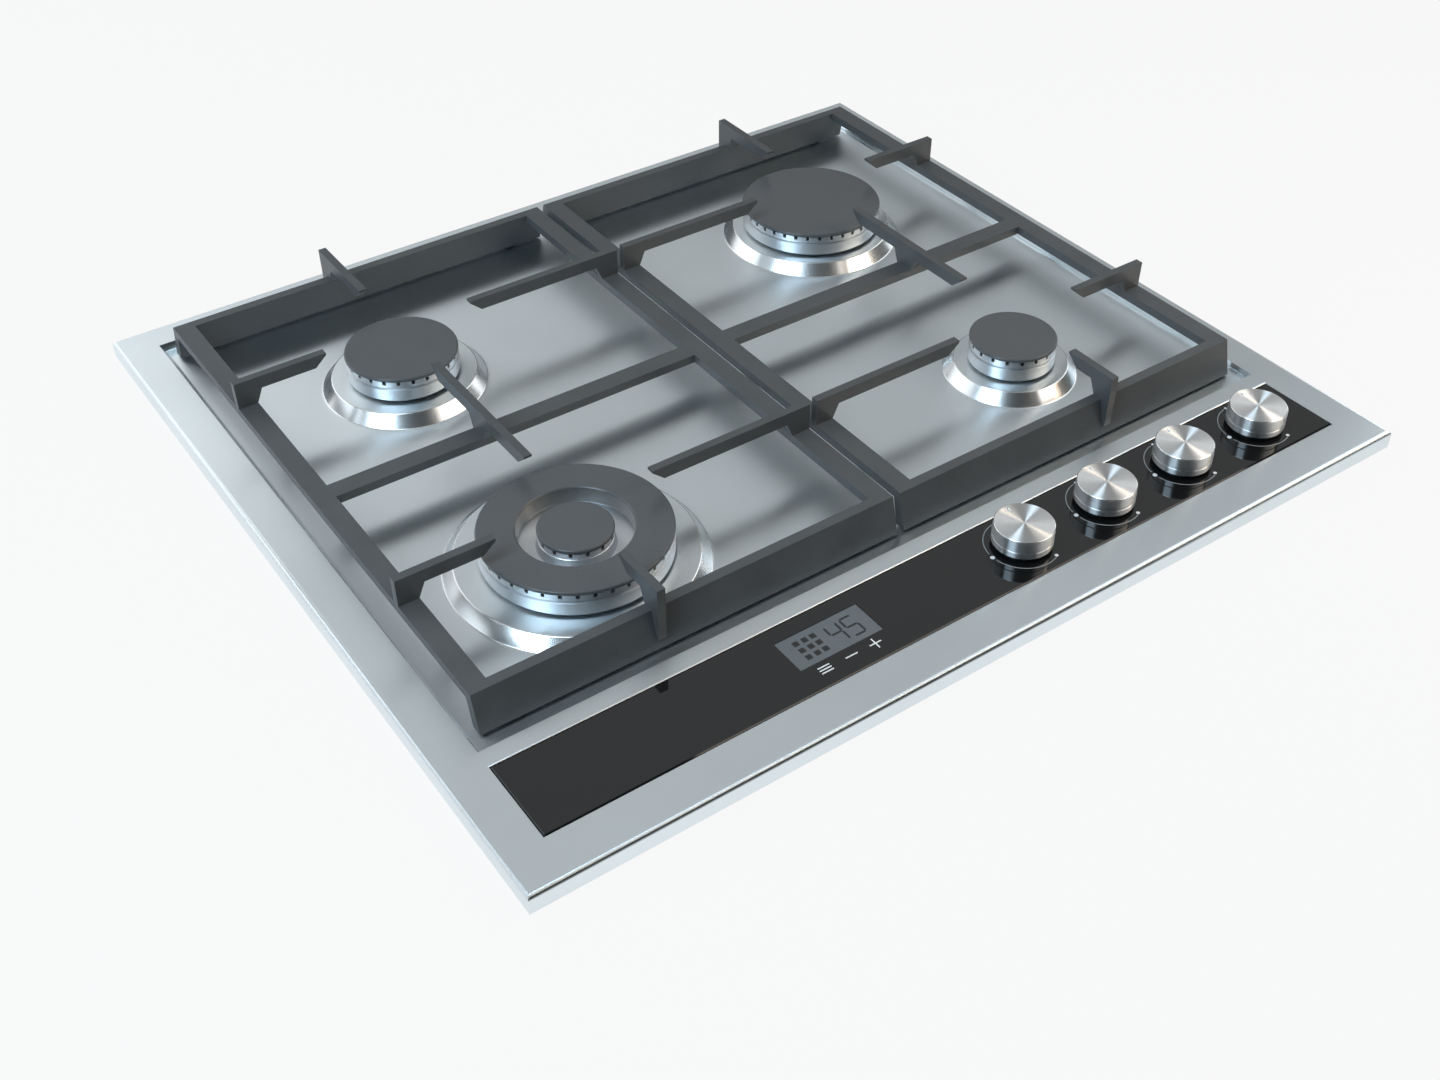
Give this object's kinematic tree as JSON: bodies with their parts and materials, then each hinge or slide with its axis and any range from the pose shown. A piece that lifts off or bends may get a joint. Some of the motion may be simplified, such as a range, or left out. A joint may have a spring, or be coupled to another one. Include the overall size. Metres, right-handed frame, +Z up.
{
  "type": "gas cooktop",
  "caption": "Built-in gas cooktop: steel plate, black glass control strip with push-and-turn knobs and timer, lift-off burners with a double-ring wok burner, and cast pan grates.",
  "frame": {"origin": "middle of the plan, at the level of the tray's underside", "axes": "+X to the right along the front edge, +Y from the front edge to the back, +Z up"},
  "size_m": [0.586, 0.526, 0.094],
  "materials": {
    "steel_plate": "finely brushed",
    "black_glass": "polished black",
    "display": "smoked window",
    "board": "laminate",
    "spring_steel": "plated",
    "tray_steel": "galvanised",
    "fixings": "zinc plated",
    "seal_foam": "foam strip",
    "collar_black": "moulded",
    "knob_metal": "turned and plated",
    "brass": "machined",
    "pipe_aluminium": "drawn",
    "rail_steel": "plated tube",
    "burner_aluminium": "die cast",
    "cap_enamel": "satin enamel",
    "grate_iron": "satin enamel",
    "foot_rubber": "moulded",
    "ceramic": "glazed ceramic",
    "sensor_copper": "drawn copper alloy",
    "box_plastic": "moulded",
    "lead_rubber": "silicone"
  },
  "bodies": {
    "hob": {"top_plate": "steel_plate", "control_glass": "black_glass", "display_panel": "display", "timer_board": "board", "touch_springs": "spring_steel", "bottom_tray": "tray_steel", "tray_nuts": "fixings", "worktop_seal": "seal_foam", "worktop_clamps": "fixings", "clamp_screws": "fixings", "knob_collars": "collar_black", "tap_bonnets": "fixings", "gas_rail": "rail_steel", "rail_brackets": "fixings", "gas_inlet": "brass", "cup_screws": "fixings", "injectors": "brass", "igniters": "ceramic", "flame_sensors": "sensor_copper", "sensor_leads": "sensor_copper", "ignition_box": "box_plastic", "ignition_leads": "lead_rubber", "cable_gland": "collar_black", "tap_body_1": "brass", "feed_pipe_1": "pipe_aluminium", "tap_body_2": "brass", "feed_pipe_2": "pipe_aluminium", "tap_body_3": "brass", "feed_pipe_3": "pipe_aluminium", "tap_body_4": "brass", "feed_pipe_4": "pipe_aluminium", "cup_rear_left": "burner_aluminium", "cup_front_left": "burner_aluminium", "cup_rear_right": "burner_aluminium", "cup_front_right": "burner_aluminium"},
    "tap_plug_1": {"plug_1": "brass"},
    "knob_1": {"knob_1": "knob_metal", "spindle_1": "brass"},
    "tap_plug_2": {"plug_2": "brass"},
    "knob_2": {"knob_2": "knob_metal", "spindle_2": "brass"},
    "tap_plug_3": {"plug_3": "brass"},
    "knob_3": {"knob_3": "knob_metal", "spindle_3": "brass"},
    "tap_plug_4": {"plug_4": "brass"},
    "knob_4": {"knob_4": "knob_metal", "spindle_4": "brass"},
    "head_rear_left": {"head_rear_left": "burner_aluminium"},
    "cap_rear_left": {"cap_rear_left": "cap_enamel"},
    "head_front_left": {"head_front_left": "burner_aluminium"},
    "cap_front_left": {"cap_front_left": "cap_enamel"},
    "head_rear_right": {"head_rear_right": "burner_aluminium"},
    "cap_rear_right": {"cap_rear_right": "cap_enamel"},
    "head_front_right": {"head_front_right": "burner_aluminium"},
    "cap_front_right": {"cap_front_right": "cap_enamel"},
    "cap_inner": {"cap_inner": "cap_enamel"},
    "grate_left": {"grate_left": "grate_iron", "grate_feet_left": "foot_rubber"},
    "grate_right": {"grate_right": "grate_iron", "grate_feet_right": "foot_rubber"}
  },
  "joints": [
    {"name": "tap_turn_1", "type": "hinge", "parent": "hob", "child": "tap_plug_1", "pos_m": [0.045, -0.2116, 0.06], "axis": [0, 0, 1], "range_deg": [0, 205]},
    {"name": "knob_push_1", "type": "slide", "parent": "tap_plug_1", "child": "knob_1", "axis": [0, 0, -1], "range_m": [0, 0.0022], "stiffness_N_per_m": 1500, "springref_m": -0.004},
    {"name": "tap_turn_2", "type": "hinge", "parent": "hob", "child": "tap_plug_2", "pos_m": [0.107, -0.2116, 0.06], "axis": [0, 0, 1], "range_deg": [0, 205]},
    {"name": "knob_push_2", "type": "slide", "parent": "tap_plug_2", "child": "knob_2", "axis": [0, 0, -1], "range_m": [0, 0.0022], "stiffness_N_per_m": 1500, "springref_m": -0.004},
    {"name": "tap_turn_3", "type": "hinge", "parent": "hob", "child": "tap_plug_3", "pos_m": [0.169, -0.2116, 0.06], "axis": [0, 0, 1], "range_deg": [0, 205]},
    {"name": "knob_push_3", "type": "slide", "parent": "tap_plug_3", "child": "knob_3", "axis": [0, 0, -1], "range_m": [0, 0.0022], "stiffness_N_per_m": 1500, "springref_m": -0.004},
    {"name": "tap_turn_4", "type": "hinge", "parent": "hob", "child": "tap_plug_4", "pos_m": [0.231, -0.2116, 0.06], "axis": [0, 0, 1], "range_deg": [0, 205]},
    {"name": "knob_push_4", "type": "slide", "parent": "tap_plug_4", "child": "knob_4", "axis": [0, 0, -1], "range_m": [0, 0.0022], "stiffness_N_per_m": 1500, "springref_m": -0.004},
    {"name": "head_lift_rear_left", "type": "slide", "parent": "hob", "child": "head_rear_left", "axis": [0, 0, 1], "range_m": [0, 0.042]},
    {"name": "cap_lift_rear_left", "type": "slide", "parent": "head_rear_left", "child": "cap_rear_left", "axis": [0, 0, 1], "range_m": [0, 0.022]},
    {"name": "head_lift_front_left", "type": "slide", "parent": "hob", "child": "head_front_left", "axis": [0, 0, 1], "range_m": [0, 0.004]},
    {"name": "cap_lift_front_left", "type": "slide", "parent": "head_front_left", "child": "cap_front_left", "axis": [0, 0, 1], "range_m": [0, 0.004]},
    {"name": "head_lift_rear_right", "type": "slide", "parent": "hob", "child": "head_rear_right", "axis": [0, 0, 1], "range_m": [0, 0.042]},
    {"name": "cap_lift_rear_right", "type": "slide", "parent": "head_rear_right", "child": "cap_rear_right", "axis": [0, 0, 1], "range_m": [0, 0.022]},
    {"name": "head_lift_front_right", "type": "slide", "parent": "hob", "child": "head_front_right", "axis": [0, 0, 1], "range_m": [0, 0.042]},
    {"name": "cap_lift_front_right", "type": "slide", "parent": "head_front_right", "child": "cap_front_right", "axis": [0, 0, 1], "range_m": [0, 0.022]},
    {"name": "cap_lift_inner", "type": "slide", "parent": "head_front_left", "child": "cap_inner", "axis": [0, 0, 1], "range_m": [0, 0.022]},
    {"name": "grate_lift_left", "type": "slide", "parent": "hob", "child": "grate_left", "axis": [0, 0, 1], "range_m": [0, 0.045]},
    {"name": "grate_lift_right", "type": "slide", "parent": "hob", "child": "grate_right", "axis": [0, 0, 1], "range_m": [0, 0.045]}
  ]
}
